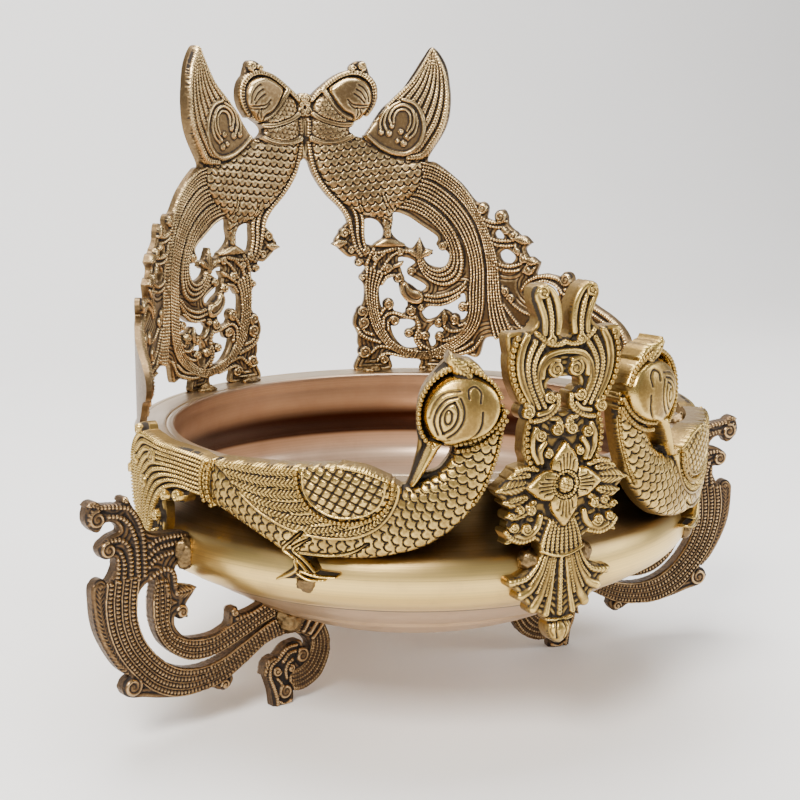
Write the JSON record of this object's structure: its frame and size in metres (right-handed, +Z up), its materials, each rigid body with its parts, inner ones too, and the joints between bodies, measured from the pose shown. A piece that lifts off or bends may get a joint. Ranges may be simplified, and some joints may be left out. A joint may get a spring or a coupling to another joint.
{
  "type": "footed bowl",
  "caption": "Wide turned bowl with a flat rim on scrolled legs, with pierced bird panels on the back of the rim, swans and a flower crest at the front.",
  "frame": {"origin": "on the surface that the feet stand on, under the middle of the overall box; the bowl's axis is at x 0, y -32.25 mm", "axes": "+Z up along the bowl's axis, -Y towards the flower crest at the front, +Y towards the peacock panels at the back, +X to the right seen from the front"},
  "size_m": [0.5807, 0.5246, 0.49],
  "materials": {
    "bowl_brass": "turned satin brass, warmer and redder inside the bowl",
    "swan_brass": "antique cast brass, rubbed bright on the high parts and blackened in the recesses",
    "peacock_brass": "antique cast brass, browner, blackened in the recesses",
    "leg_brass": "dark reddish antique cast brass",
    "braze_metal": "rough melted brazing metal, dull and dark"
  },
  "bodies": {
    "root": {"bowl": "bowl_brass", "leg_left": "leg_brass", "leg_right": "leg_brass", "leg_back": "leg_brass", "peacock_left": "peacock_brass", "peacock_right": "peacock_brass", "swan_left": "swan_brass", "swan_right": "swan_brass", "crest": "swan_brass", "leg_left_shoulder_braze": "braze_metal", "leg_right_shoulder_braze": "braze_metal", "leg_back_shoulder_braze": "braze_metal", "leg_left_under_braze": "braze_metal", "leg_right_under_braze": "braze_metal", "leg_back_under_braze": "braze_metal", "peacock_left_foot_braze": "braze_metal", "peacock_right_foot_braze": "braze_metal", "peacock_joint_braze": "braze_metal", "swan_left_rim_braze": "braze_metal", "swan_right_rim_braze": "braze_metal", "swan_left_foot_braze": "braze_metal", "swan_right_foot_braze": "braze_metal", "crest_rim_braze": "braze_metal", "crest_shoulder_braze": "braze_metal"}
  },
  "joints": []
}
